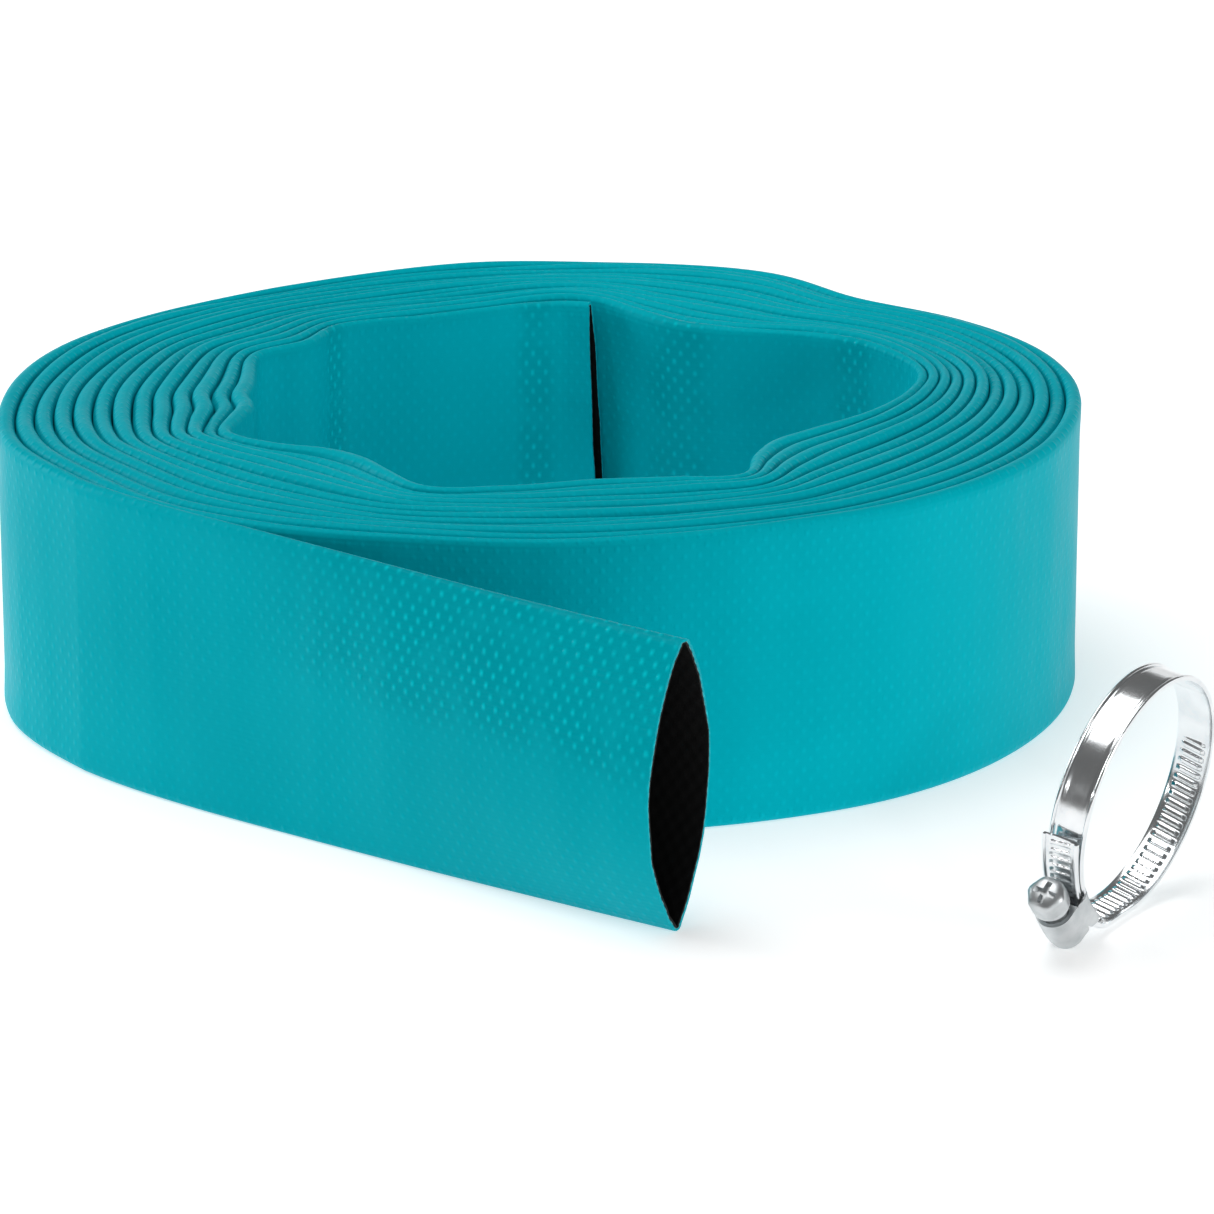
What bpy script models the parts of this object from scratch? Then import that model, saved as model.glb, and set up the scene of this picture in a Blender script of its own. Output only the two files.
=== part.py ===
"""Rolled layflat hose, 38 mm size, with its worm-drive clamp.

The hose stands on its folded edge, wound flat into an oval roll. Its free end leaves the
roll on the left and opens into a pointed oval mouth. The clamp stands beside the mouth.
Metres, +Z up; the floor is z = 0 and the origin is the middle of the whole set's footprint.
"""

from math import cos, degrees, pi, radians, sin, sqrt

import bmesh
import bpy
import numpy as np
from mathutils import Matrix, Vector

MM = 0.001
SET_NAME = "layflat_hose_set"
ROLL_CENTRE = (-7.88, 34.0)  # mm, the roll's polar centre seen from the set's origin

# Hose
HOSE_WIDTH = 62.0  # mm, laid flat
HOSE_THICKNESS = 1.9  # mm, two walls pressed together
HALF_WIDTH = HOSE_WIDTH / 2
HALF_THICKNESS = HOSE_THICKNESS / 2
SMALL_GAP = 0.3  # mm, between pieces that touch
HINGE_GAP = 0.45  # mm, where the free end swings
TURNS = 12.25 + 5 / 48
FIRST_ANGLE = -150.0  # degrees round the roll, where the free end leaves it
STEP_ANGLE = 7.5  # degrees of turn between two stations of the roll
INNER_END_ANGLE = 37.5  # degrees of the innermost turn that show as separate plies
FOLD_SHARPNESS = 2.0  # how fast the inner turns' kinks fade outwards

# Plies of the hose wall, from outside in: depth of outer face, depth of inner face, mm
PLIES = {
    "cover": (0.0, 0.36),
    "yarn_layer": (0.44, 0.56),
    "lining": (0.64, 0.84),
}

# Free end
MOUTH_OPENING = 9.0  # mm, how far each side of the mouth bows out
MOUTH_DROP = 2.0  # mm, how far each fold draws in where the mouth opens
INNER_OPENING = 0.9  # mm, the same for the end in the middle of the roll
FREE_END_POINTS = ((-70.0, -73.6), (-30.0, -101.4), (2.0, -122.0), (24.4, -136.0))
FREE_STATIONS = 16

# Worm-drive clamp
RING_RADIUS = 24.3  # mm, outer face of the band
BAND_THICKNESS = 0.7
BAND_WIDTH = 7.6
RIM_HEIGHT = 0.45  # mm, the rolled edges stand this far out
RIM_WIDTH = 0.8
CLAMP_CENTRE = (110.6, -130.0, 26.02)  # mm from the roll's centre, z above the floor
CLAMP_HEADING = -33.2  # degrees, where the ring's axis points
CLAMP_LEAN = -8.5  # degrees, how far that axis dips
HOUSING_ANGLE = 223.5  # degrees round the ring
HOUSING_LENGTH = 10.4
HOUSING_RADIUS = 3.7
HOUSING_WALL = 0.7
SLOT_CLEARANCE = 0.45
WORM_RADIUS = 2.6
HEAD_START = -8.0  # mm along the screw from the middle of the housing
HEAD_LENGTH = 4.8
HEAD_ACROSS_FLATS = 7.0
RECESS_WIDTH = 1.0
RECESS_REACH = 4.4
RECESS_DEPTH = 1.3
TAIL_ANGLE = 42.5  # degrees of band past the middle of the housing
TAIL_FLARE = 1.0  # mm, how far its tip stands off

# Virtual outline of the outermost turn and middle line of the innermost turn:
# degrees round the roll, clockwise from the free end, and millimetres from its centre.
OUTER_OUTLINE = (
    (-150, 108.2), (-165, 113.1), (-180, 111.9), (-195, 108.2), (-210, 101.3),
    (-225, 94.2), (-240, 90.2), (-255, 88.9), (-270, 89.8), (-285, 92.1),
    (-300, 94.6), (-315, 91.9), (-330, 100.6), (-352, 108.8), (-375, 107.9),
    (-390, 104.4), (-405, 99.8), (-420, 94.5), (-435, 91.2), (-450, 90.6),
    (-465, 92.2), (-487, 100.2), (-500, 106.1),
)
INNER_OUTLINE = (
    (-150.6, 63.1), (-161, 69.0), (-167, 64.6), (-180, 62.4), (-192, 63.5),
    (-203, 66.4), (-213, 61.6), (-224.5, 63.6), (-232, 61.5), (-241, 58.6),
    (-254, 57.5), (-266, 59.0), (-273, 59.6), (-279, 58.8), (-290, 52.8),
    (-300, 49.9), (-310.6, 53.3), (-326, 64.4), (-337.4, 71.2), (-351.8, 75.2),
    (-359, 71.2), (-369, 64.1), (-382.6, 54.5), (-393, 50.9), (-402, 53.6), (-412.3, 61.5),
    (-424.6, 56.3), (-441.9, 52.8), (-459.2, 57.1), (-474.7, 62.0), (-483, 57.9),
    (-493.3, 54.4), (-502.6, 56.3),
)


def clear_scene():
    """Remove the objects that a new file starts with."""
    for scene_object in list(bpy.data.objects):
        bpy.data.objects.remove(scene_object, do_unlink=True)


def new_collection(name):
    collection = bpy.data.collections.new(name)
    bpy.context.scene.collection.children.link(collection)
    return collection


def new_material(name, colour, roughness, metallic=0.0):
    material = bpy.data.materials.new(name)
    material.use_nodes = True
    shader = material.node_tree.nodes["Principled BSDF"]
    shader.inputs["Base Color"].default_value = (*colour, 1.0)
    shader.inputs["Roughness"].default_value = roughness
    shader.inputs["Metallic"].default_value = metallic
    material.diffuse_color = (*colour, 1.0)
    return material


def add_object(name, mesh, collection, material=None, parent=None):
    """Put a mesh in the scene as one named piece, shaded smooth between its sharp edges."""
    piece = bpy.data.objects.new(name, mesh)
    collection.objects.link(piece)
    if material is not None:
        mesh.materials.append(material)
    if parent is not None:
        piece.parent = parent
    mesh.shade_smooth()
    mesh.set_sharp_from_angle(angle=radians(35))
    return piece


def add_empty(name, matrix, collection, parent=None):
    empty = bpy.data.objects.new(name, None)
    collection.objects.link(empty)
    empty.parent = parent
    if parent is not None:
        empty.matrix_parent_inverse = parent.matrix_world.inverted()
    empty.matrix_world = matrix
    bpy.context.view_layer.update()
    return empty


# ---------------------------------------------------------------- the hose's route


class ClosedOutline:
    """A smooth closed curve, radius against angle, through a few given points."""

    def __init__(self, points):
        ordered = sorted((angle % 360.0, radius) for angle, radius in points)
        angles = np.array([angle for angle, _ in ordered])
        radii = np.array([radius for _, radius in ordered])
        self.angles = np.concatenate([angles[-2:] - 360.0, angles, angles[:3] + 360.0])
        self.radii = np.concatenate([radii[-2:], radii, radii[:3]])
        self.slopes = np.gradient(self.radii, self.angles)

    def radius(self, angle):
        angle = angle % 360.0
        i = np.searchsorted(self.angles, angle, side="right") - 1
        span = self.angles[i + 1] - self.angles[i]
        t = (angle - self.angles[i]) / span
        return (
            (1 + 2 * t) * (1 - t) ** 2 * self.radii[i]
            + t * (1 - t) ** 2 * span * self.slopes[i]
            + t * t * (3 - 2 * t) * self.radii[i + 1]
            - t * t * (1 - t) * span * self.slopes[i + 1]
        )

    def smoothed(self, angle, reach=24.0):
        """The mean radius for a stretch either side, without the kinks."""
        samples = angle + np.linspace(-reach, reach, 17)
        return float(np.mean([self.radius(sample) for sample in samples]))


OUTER = ClosedOutline(OUTER_OUTLINE)
INNER = ClosedOutline(INNER_OUTLINE)


def roll_radius(turn):
    """Distance of the hose's middle from the roll's centre, this many turns in."""
    angle = FIRST_ANGLE - 360.0 * turn
    share = turn / TURNS
    outer = OUTER.radius(angle) - HALF_THICKNESS
    smooth_inner = INNER.smoothed(angle)
    kink = INNER.radius(angle) - smooth_inner
    return outer - (outer - smooth_inner) * share + kink * share**FOLD_SHARPNESS


def roll_point(turn):
    """A point of the roll's spiral in plan, in millimetres from the set's origin."""
    angle = radians(FIRST_ANGLE - 360.0 * turn)
    radius = roll_radius(turn)
    return Vector((
        ROLL_CENTRE[0] + radius * cos(angle),
        ROLL_CENTRE[1] + radius * sin(angle),
    ))


def roll_path(first_turn, last_turn, step=STEP_ANGLE / 360.0):
    count = max(2, round((last_turn - first_turn) / step))
    return [roll_point(first_turn + (last_turn - first_turn) * i / count)
            for i in range(count + 1)]


def free_end_path():
    """The free end in plan: on from the roll's own direction, then nearly straight."""
    start = roll_point(0.0)
    lead = roll_point(0.02)
    knots = [lead, start] + [
        Vector((x + ROLL_CENTRE[0], y + ROLL_CENTRE[1])) for x, y in FREE_END_POINTS
    ]
    knots.append(knots[-1] * 2 - knots[-2])
    dense = []
    for i in range(1, len(knots) - 2):
        before, a, b, after = knots[i - 1:i + 3]
        if i == 1:
            before = a - (a - lead).normalized() * (b - a).length
        for k in range(24):
            t = k / 24
            dense.append(0.5 * (
                2 * a + (b - before) * t
                + (2 * before - 5 * a + 4 * b - after) * t * t
                + (3 * a - before - 3 * b + after) * t**3
            ))
    dense.append(knots[-2])
    return even_steps(dense, FREE_STATIONS)


def even_steps(points, count):
    """The same route with count + 1 points at even distances."""
    plan = np.array([(p.x, p.y) for p in points])
    along = np.concatenate([[0.0], np.cumsum(np.linalg.norm(np.diff(plan, axis=0), axis=1))])
    wanted = np.linspace(0.0, along[-1], count + 1)
    return [Vector((np.interp(d, along, plan[:, 0]), np.interp(d, along, plan[:, 1])))
            for d in wanted]


def path_length(points):
    return sum((b - a).length for a, b in zip(points, points[1:]))


# ---------------------------------------------------------------- hose pieces


def ribbon_mesh(name, points):
    """An upright open ribbon along a plan route, to be given its thickness by Solidify."""
    bm = bmesh.new()
    low = [bm.verts.new((p.x * MM, p.y * MM, 0.0)) for p in points]
    for a, b in zip(low, low[1:]):
        bm.edges.new((a, b))
    raised = bmesh.ops.extrude_edge_only(bm, edges=bm.edges[:])["geom"]
    bmesh.ops.translate(
        bm,
        verts=[item for item in raised if isinstance(item, bmesh.types.BMVert)],
        vec=(0.0, 0.0, HOSE_WIDTH * MM),
    )
    bmesh.ops.recalc_face_normals(bm, faces=bm.faces[:])
    mesh = bpy.data.meshes.new(name)
    bm.to_mesh(mesh)
    bm.free()
    return mesh


def add_roll(collection, material):
    """The wound hose: one flattened strip, both walls together, along the whole spiral."""
    last = TURNS - INNER_END_ANGLE / 360.0
    gap = HINGE_GAP / (2 * pi * roll_radius(0.0))
    mesh = ribbon_mesh("hose_roll", roll_path(gap, last))
    roll = add_object("hose_roll", mesh, collection, material)
    walls = roll.modifiers.new("walls", "SOLIDIFY")
    walls.thickness = HOSE_THICKNESS * MM
    walls.offset = 0.0
    walls.use_even_offset = True
    return roll


def section_loop(depth, opening):
    """One ply's face across the flattened tube: (sideways, up) points, in millimetres.

    depth is how far the face lies inside the hose's outer surface, and opening is 0
    where the hose is flat and 1 at the open mouth.
    """
    half_thickness = HALF_THICKNESS - depth
    half_height = HALF_WIDTH - MOUTH_DROP * opening - depth
    bow = MOUTH_OPENING * opening
    straight = half_height - half_thickness
    side = []
    for i in range(-4, 5):
        height = straight * sin(0.5 * pi * i / 4)
        side.append((half_thickness + bow * (1 - (height / straight) ** 2), height))
    loop = [(x, z) for x, z in side] + [(0.0, half_height)]
    loop += [(-x, z) for x, z in reversed(side)] + [(0.0, -half_height)]
    lift = half_height + depth
    return [(x, z + lift) for x, z in loop]


def ply_mesh(name, points, depths, openings):
    """A tube wall lofted along a plan route, open at both ends, flat to pointed oval."""
    bm = bmesh.new()
    rings = []
    for i, point in enumerate(points):
        ahead = points[min(i + 1, len(points) - 1)] - points[max(i - 1, 0)]
        across = Vector((-ahead.y, ahead.x)).normalized()
        ring = []
        for depth in depths:
            loop = section_loop(depth, openings[i])
            ring.append([
                bm.verts.new((
                    (point.x + across.x * x) * MM, (point.y + across.y * x) * MM, z * MM
                ))
                for x, z in loop
            ])
        rings.append(ring)
    count = len(rings[0][0])
    for i in range(count):
        j = (i + 1) % count
        for (outer_a, inner_a), (outer_b, inner_b) in zip(rings, rings[1:]):
            bm.faces.new((outer_a[i], outer_b[i], outer_b[j], outer_a[j]))
            bm.faces.new((inner_a[i], inner_a[j], inner_b[j], inner_b[i]))
        for outer, inner in (rings[0], rings[-1]):
            bm.faces.new((outer[i], outer[j], inner[j], inner[i]))
    bmesh.ops.recalc_face_normals(bm, faces=bm.faces[:])
    mesh = bpy.data.meshes.new(name)
    bm.to_mesh(mesh)
    bm.free()
    return mesh


def add_open_end(prefix, points, openings, collection, materials, parent=None):
    """The plies of one open end of the hose, each its own shell inside the next."""
    for ply, depths in PLIES.items():
        name = f"{prefix}_{ply}"
        mesh = ply_mesh(name, points, depths, openings)
        if parent is not None:
            mesh.transform(parent.matrix_world.inverted())
        add_object(name, mesh, collection, materials[ply], parent)


def add_free_end(collection, materials):
    """The end that leaves the roll; it swings about the line where it leaves."""
    points = free_end_path()
    hinge = Matrix.Translation((points[0].x * MM, points[0].y * MM, 0.0))
    pivot = add_empty("free_end_pivot", hinge, collection)
    along = np.linspace(0.0, 1.0, len(points))
    openings = np.clip((along - 0.30) / 0.70, 0.0, 1.0) ** 1.7
    openings = openings * (3 - 2 * openings) * 0.35 + openings * 0.65
    add_open_end("free_end", points, openings, collection, materials, pivot)
    return path_length(points)


def add_inner_end(collection, materials):
    """The end in the middle of the roll, barely open."""
    first = TURNS - INNER_END_ANGLE / 360.0
    gap = SMALL_GAP / (2 * pi * roll_radius(first))
    points = roll_path(first + gap, TURNS, STEP_ANGLE / 720.0)
    along = np.linspace(0.0, 1.0, len(points))
    openings = INNER_OPENING / MOUTH_OPENING * along**2
    centre = Vector(ROLL_CENTRE)
    for i, part_way in enumerate(along):
        inward = (centre - points[i]).normalized()
        points[i] += inward * (1.3 * INNER_OPENING * part_way**2)
    add_open_end("inner_end", points, openings, collection, materials)


# ---------------------------------------------------------------- clamp


def clamp_matrix():
    """The clamp's own frame: its z runs along the ring's axis, its y nearly upwards."""
    heading = radians(CLAMP_HEADING)
    lean = radians(CLAMP_LEAN)
    axis = Vector((cos(lean) * cos(heading), cos(lean) * sin(heading), sin(lean)))
    level = Vector((-sin(heading), cos(heading), 0.0))
    upward = axis.cross(level)
    x, y, z = CLAMP_CENTRE
    centre = Vector((x + ROLL_CENTRE[0], y + ROLL_CENTRE[1], z)) * MM
    return Matrix.Translation(centre) @ Matrix((level, upward, axis)).transposed().to_4x4()


def band_section():
    """The band's cross-section, rolled edges outwards: (outward, along the axis), mm."""
    half = BAND_WIDTH / 2
    flat = half - RIM_WIDTH
    return [
        (-BAND_THICKNESS, -half), (-BAND_THICKNESS, half), (RIM_HEIGHT, half),
        (RIM_HEIGHT, flat), (0.0, flat - 0.3), (0.0, 0.3 - flat),
        (RIM_HEIGHT, -flat), (RIM_HEIGHT, -half),
    ]


def band_mesh(name, stations):
    """Sweep the band's section along stations of (degrees, radius)."""
    bm = bmesh.new()
    rings = []
    for angle, radius in stations:
        a = radians(angle)
        rings.append([
            bm.verts.new((
                cos(a) * (radius + out) * MM, sin(a) * (radius + out) * MM, axial * MM
            ))
            for out, axial in band_section()
        ])
    count = len(rings[0])
    for ring, following in zip(rings, rings[1:]):
        for i in range(count):
            j = (i + 1) % count
            bm.faces.new((ring[i], following[i], following[j], ring[j]))
    bm.faces.new(rings[0])
    bm.faces.new(list(reversed(rings[-1])))
    bmesh.ops.recalc_face_normals(bm, faces=bm.faces[:])
    mesh = bpy.data.meshes.new(name)
    bm.to_mesh(mesh)
    bm.free()
    return mesh


def band_arc(first, last, radius_at, step=5.0):
    count = max(2, round(abs(last - first) / step))
    angles = [first + (last - first) * i / count for i in range(count + 1)]
    return [(angle, radius_at(angle)) for angle in angles]


HINGE_ANGLE = HOUSING_ANGLE - 180.0
OVERLAP_RISE = BAND_THICKNESS + RIM_HEIGHT + SLOT_CLEARANCE


def fixed_band_radius(angle):
    return RING_RADIUS


def moving_band_radius(angle):
    """The moving half rides over the fixed half's tongue as it nears the housing."""
    past = HOUSING_ANGLE + 42.0 - angle
    rise = min(max(past / 20.0, 0.0), 1.0)
    flare = TAIL_FLARE * max((past - 56.0) / (TAIL_ANGLE - 14.0), 0.0) ** 2
    return RING_RADIUS + OVERLAP_RISE * rise * rise * (3 - 2 * rise) + flare


def add_fixed_band(collection, material, frame):
    """The half of the band that the housing is pressed on, with its short tongue."""
    half_split = degrees(0.5 * SMALL_GAP / RING_RADIUS)
    tongue_end = HOUSING_ANGLE + degrees(0.5 * HOUSING_LENGTH / RING_RADIUS)
    stations = band_arc(HINGE_ANGLE + half_split, tongue_end, fixed_band_radius)
    return add_object("clamp_band", band_mesh("clamp_band", stations), collection,
                      material, frame)


def add_moving_band(collection, material, frame):
    """The grooved half, through the housing to its flared tip."""
    half_split = degrees(0.5 * SMALL_GAP / RING_RADIUS)
    first = HINGE_ANGLE + 360.0 - half_split
    stations = band_arc(first, HOUSING_ANGLE - TAIL_ANGLE, moving_band_radius)
    mesh = band_mesh("clamp_band_tail", stations)
    return add_object("clamp_band_tail", mesh, collection, material, frame)


def housing_frame():
    """Seat of the housing on the ring: x outwards, y along the screw, z along the axis."""
    turn = Matrix.Rotation(radians(HOUSING_ANGLE), 4, "Z")
    return turn @ Matrix.Translation((RING_RADIUS * MM, 0.0, 0.0))


def worm_height():
    """How far the worm's axis stands off the band's outer face."""
    return OVERLAP_RISE + SLOT_CLEARANCE + WORM_RADIUS


def housing_outline(margin):
    """The housing across the screw: a sleeve for the band under a round barrel."""
    axis_height = worm_height()
    radius = HOUSING_RADIUS - margin
    half = BAND_WIDTH / 2 + 0.3 + HOUSING_WALL - margin
    sag = (HOUSING_LENGTH / 2) ** 2 / (2 * RING_RADIUS)
    floor = -BAND_THICKNESS - sag - SMALL_GAP - HOUSING_WALL + margin
    shoulder = OVERLAP_RISE + RIM_HEIGHT + SMALL_GAP + HOUSING_WALL - margin
    points = [(floor, -half), (floor, half), (shoulder, half)]
    for i in range(13):
        t = pi * i / 12
        points.append((axis_height + radius * sin(t), radius * cos(t)))
    points.append((shoulder, -half))
    return points


def prism(name, outline, length, start):
    """A flat outline in x and z, extruded along y."""
    bm = bmesh.new()
    face = bm.faces.new([bm.verts.new((x * MM, start * MM, z * MM)) for x, z in outline])
    swept = bmesh.ops.extrude_face_region(bm, geom=[face])["geom"]
    bmesh.ops.translate(
        bm,
        verts=[item for item in swept if isinstance(item, bmesh.types.BMVert)],
        vec=(0.0, length * MM, 0.0),
    )
    bmesh.ops.recalc_face_normals(bm, faces=bm.faces[:])
    mesh = bpy.data.meshes.new(name)
    bm.to_mesh(mesh)
    bm.free()
    return mesh


def add_cutter(name, mesh, collection, parent):
    cutter = bpy.data.objects.new(name, mesh)
    collection.objects.link(cutter)
    cutter.parent = parent
    cutter.hide_render = True
    cutter.display_type = "WIRE"
    return cutter


def cut(piece, cutter):
    boolean = piece.modifiers.new(cutter.name, "BOOLEAN")
    boolean.operation = "DIFFERENCE"
    boolean.object = cutter
    boolean.solver = "EXACT"


def add_housing(collection, cutters, material, frame):
    """The pressed housing: a barrel round the worm, open at both ends, over the band."""
    seat = housing_frame()
    body = prism("clamp_housing", housing_outline(0.0), HOUSING_LENGTH, -HOUSING_LENGTH / 2)
    body.transform(seat)
    housing = add_object("clamp_housing", body, collection, material, frame)
    hollow = prism("housing_hollow", housing_outline(HOUSING_WALL), HOUSING_LENGTH + 4,
                   -HOUSING_LENGTH / 2 - 2)
    hollow.transform(seat)
    cut(housing, add_cutter("housing_hollow", hollow, cutters, frame))
    return housing


def cylinder_mesh(name, radius, length, start, sides):
    """A cylinder along y from start, flats facing up when it is a hexagon."""
    bm = bmesh.new()
    bmesh.ops.create_cone(bm, cap_ends=True, segments=sides, radius1=radius * MM,
                          radius2=radius * MM, depth=length * MM)
    mesh = bpy.data.meshes.new(name)
    bm.to_mesh(mesh)
    bm.free()
    turn = Matrix.Rotation(-pi / 2, 4, "X")
    mesh.transform(Matrix.Translation((0.0, (start + length / 2) * MM, 0.0)) @ turn)
    return mesh


def add_screw(collection, cutters, material, frame):
    """The worm screw: its shank in the barrel and a hexagon head with a cross recess."""
    axis = housing_frame() @ Matrix.Translation((worm_height() * MM, 0.0, 0.0))
    pivot = add_empty("screw_pivot", frame.matrix_world @ axis, collection, frame)
    shank_end = HOUSING_LENGTH / 2 - 0.9
    shank = cylinder_mesh("worm_shank", WORM_RADIUS, shank_end - HEAD_START + 0.5,
                          HEAD_START - 0.5, 24)
    screw = add_object("clamp_screw", shank, collection, material, pivot)
    head_mesh = cylinder_mesh("screw_head", HEAD_ACROSS_FLATS / sqrt(3), HEAD_LENGTH,
                              HEAD_START - HEAD_LENGTH, 6)
    head = add_cutter("screw_head", head_mesh, cutters, pivot)
    join = screw.modifiers.new("head", "BOOLEAN")
    join.operation = "UNION"
    join.object = head
    join.solver = "EXACT"
    for name, size in (("recess_across", (RECESS_WIDTH, RECESS_REACH)),
                       ("recess_upright", (RECESS_REACH, RECESS_WIDTH))):
        outline = [(-size[0] / 2, -size[1] / 2), (size[0] / 2, -size[1] / 2),
                   (size[0] / 2, size[1] / 2), (-size[0] / 2, size[1] / 2)]
        slot = prism(name, outline, 2 * RECESS_DEPTH,
                     HEAD_START - HEAD_LENGTH - RECESS_DEPTH)
        cut(screw, add_cutter(name, slot, cutters, pivot))
    return screw


def add_clamp(collection, cutters, steel, zinc):
    frame = add_empty("clamp_frame", clamp_matrix(), collection)
    add_fixed_band(collection, steel, frame)
    hinge_place = Matrix.Rotation(radians(HINGE_ANGLE), 4, "Z") @ Matrix.Translation(
        (RING_RADIUS * MM, 0.0, 0.0)
    )
    band_hinge = add_empty("band_hinge", frame.matrix_world @ hinge_place, collection, frame)
    tail = add_moving_band(collection, steel, band_hinge)
    tail.data.transform(hinge_place.inverted())
    add_housing(collection, cutters, zinc, frame)
    add_screw(collection, cutters, zinc, frame)
    return frame, band_hinge


def main():
    clear_scene()
    collection = new_collection(SET_NAME)
    cutters = new_collection("cutters")
    materials = {
        "cover": new_material("turquoise_pvc", (0.0, 0.42, 0.46), 0.42),
        "yarn_layer": new_material("polyester_yarn", (0.72, 0.74, 0.72), 0.85),
        "lining": new_material("black_pvc", (0.012, 0.012, 0.013), 0.5),
    }
    steel = new_material("plated_band", (0.78, 0.80, 0.80), 0.22, 1.0)
    zinc = new_material("plated_housing", (0.66, 0.68, 0.68), 0.34, 1.0)
    add_roll(collection, materials["cover"])
    add_free_end(collection, materials)
    add_inner_end(collection, materials)
    add_clamp(collection, cutters, steel, zinc)
    bpy.context.view_layer.update()


main()
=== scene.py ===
"""Looks for the rolled layflat hose and its worm-drive clamp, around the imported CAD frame."""

from math import cos, pi, radians, sin, sqrt

import bmesh
import bpy
import numpy as np
from mathutils import Matrix, Vector, noise


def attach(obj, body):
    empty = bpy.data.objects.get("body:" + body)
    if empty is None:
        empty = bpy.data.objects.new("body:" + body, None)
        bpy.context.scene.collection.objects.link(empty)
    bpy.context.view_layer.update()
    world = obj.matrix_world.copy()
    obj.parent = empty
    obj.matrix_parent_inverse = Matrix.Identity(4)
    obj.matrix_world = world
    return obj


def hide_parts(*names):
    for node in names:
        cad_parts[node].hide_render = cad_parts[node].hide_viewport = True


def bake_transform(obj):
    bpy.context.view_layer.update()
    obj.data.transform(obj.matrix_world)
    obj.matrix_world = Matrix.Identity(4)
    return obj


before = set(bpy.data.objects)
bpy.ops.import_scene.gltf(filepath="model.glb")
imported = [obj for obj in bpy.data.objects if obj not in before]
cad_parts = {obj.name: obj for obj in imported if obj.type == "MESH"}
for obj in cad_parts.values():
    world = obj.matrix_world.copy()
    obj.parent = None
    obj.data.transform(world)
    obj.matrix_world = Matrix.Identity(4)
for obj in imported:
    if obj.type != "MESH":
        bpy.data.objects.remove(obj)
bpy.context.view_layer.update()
MM = 0.001

# ---------------------------------------------------------------- dimensions, in mm

ROLL_CENTRE = (-7.88, 34.0)
HOSE_WIDTH = 62.0
HOSE_THICKNESS = 1.9  # two walls pressed together
INNER_END_START = 12.25  # turns in, where the inner end's own plies begin
TURNS = INNER_END_START + 5 / 48
FIRST_ANGLE = -150.0  # degrees, where the free end leaves the roll
FOLD_SHARPNESS = 2.0  # how soon the inner turns' kinks fade outwards
THINNEST, FATTEST = 1.75, 3.7  # the flattened hose where it is pressed, and where it isn't
SLACKER = 1.1  # this much fatter in the inner turns
PINCH = 0.88  # the middle of the wall against the folds
STATIONS_PER_TURN = 216
WARP_PITCH, WEFT_PITCH = 1.45, 2.07  # the yarns beneath the cover
WEAVE_HEIGHT = 0.18
FLATTEN_LEVELS = (3.2, 5.5, 8.5)  # below a fold, where the wall flattens out
FREE_END_POINTS = ((-70.0, -73.6), (-30.0, -101.4), (2.0, -122.0), (24.4, -136.0))
FREE_THICKNESS, INNER_THICKNESS = 2.1, 2.0  # at the two cut ends
MOUTH_OPENING = 9.5
MOUTH_NEAR_SIDE = 1.6  # the near side of the mouth bows out this much more
MOUTH_DROP = 1.2
MOUTH_CUT = (0.0, 0.0, 1.6)  # the cut's upper edge runs on
INNER_OPENING = 1.7
INNER_CUT = (4.6, -3.6, 0.0)  # the inner cut's lower edge runs on, and leans inwards
PLIES = (  # each ply's two faces, below the outside
    ("cover", (0.0, 0.46)),
    ("yarn", (0.47, 0.60)),
    ("lining", (0.61, 0.92)),
)

RIPPLE = 0.85  # the inner turns' S-bend on the left, and its place in degrees
RIPPLE_ANGLE, RIPPLE_PERIOD, RIPPLE_REACH = 178.0, 16.0, 11.0
# where the cover is glossier, and its bumps carry painted highlight dots and painted shade
GLOSS_AND_PAINTED_LIGHT_SPOTS = ((12.203, 4.0), (12.322, 5.0), (11.418, 9.0), (11.509, 6.0))  # (turns in, mm)

CLAMP_CENTRE = (110.6, -130.0, 26.02)
CLAMP_HEADING = -33.2
CLAMP_LEAN = -8.5
RING_RADIUS = 24.3
BAND_THICKNESS = 0.7
BAND_WIDTH = 7.6
BEAD_RADIUS = 0.36  # the band's rolled edges
HOUSING_ANGLE = 223.5  # degrees round the ring
SEAM_ANGLE = HOUSING_ANGLE - 180.0  # where the band's two halves meet
SEAM_GAP = 0.06  # degrees
BAND_PAST_HOUSING = 12.0  # degrees
TAIL_ANGLE = 42.5  # degrees that the tail reaches past the housing
OVERLAP_RISE = 1.6  # the tail above the band that it passes over
TAIL_FLARE = 1.0
GROOVE_START = 368.0  # degrees round the ring, where the band's grooves begin
GROOVE_PITCH = 1.75
GROOVE_SLANT = 0.12
GROOVE_DEPTH = 0.34
HOUSING_LENGTH = 10.4
BARREL_RADIUS, BORE_RADIUS = 3.95, 3.12
CHEEK_HALF, SLOT_HALF = 4.75, 4.1
SCREW_HEIGHT = 4.65  # the screw's axis above the band's outer face
SCREW_SIDES = 48
WORM_RADIUS, THREAD_HEIGHT = 2.05, 0.50
NECK = (  # (along the screw, radius): the plain shank and the flange behind the head
    (-5.6, 2.3), (-7.3, 2.3), (-7.45, 2.6), (-7.5, 3.5), (-7.7, 3.7), (-8.1, 3.7), (-8.3, 3.55),
)
HEAD_HALF_FLATS = 3.5
HEAD = (  # (along the screw, share of the full size): the hexagon and its dome
    (-8.4, 1.0), (-11.6, 1.0), (-12.15, 0.93), (-12.5, 0.82), (-12.72, 0.62), (-12.84, 0.36),
)
RECESS_WIDTH, RECESS_REACH = 1.25, 5.3

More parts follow.
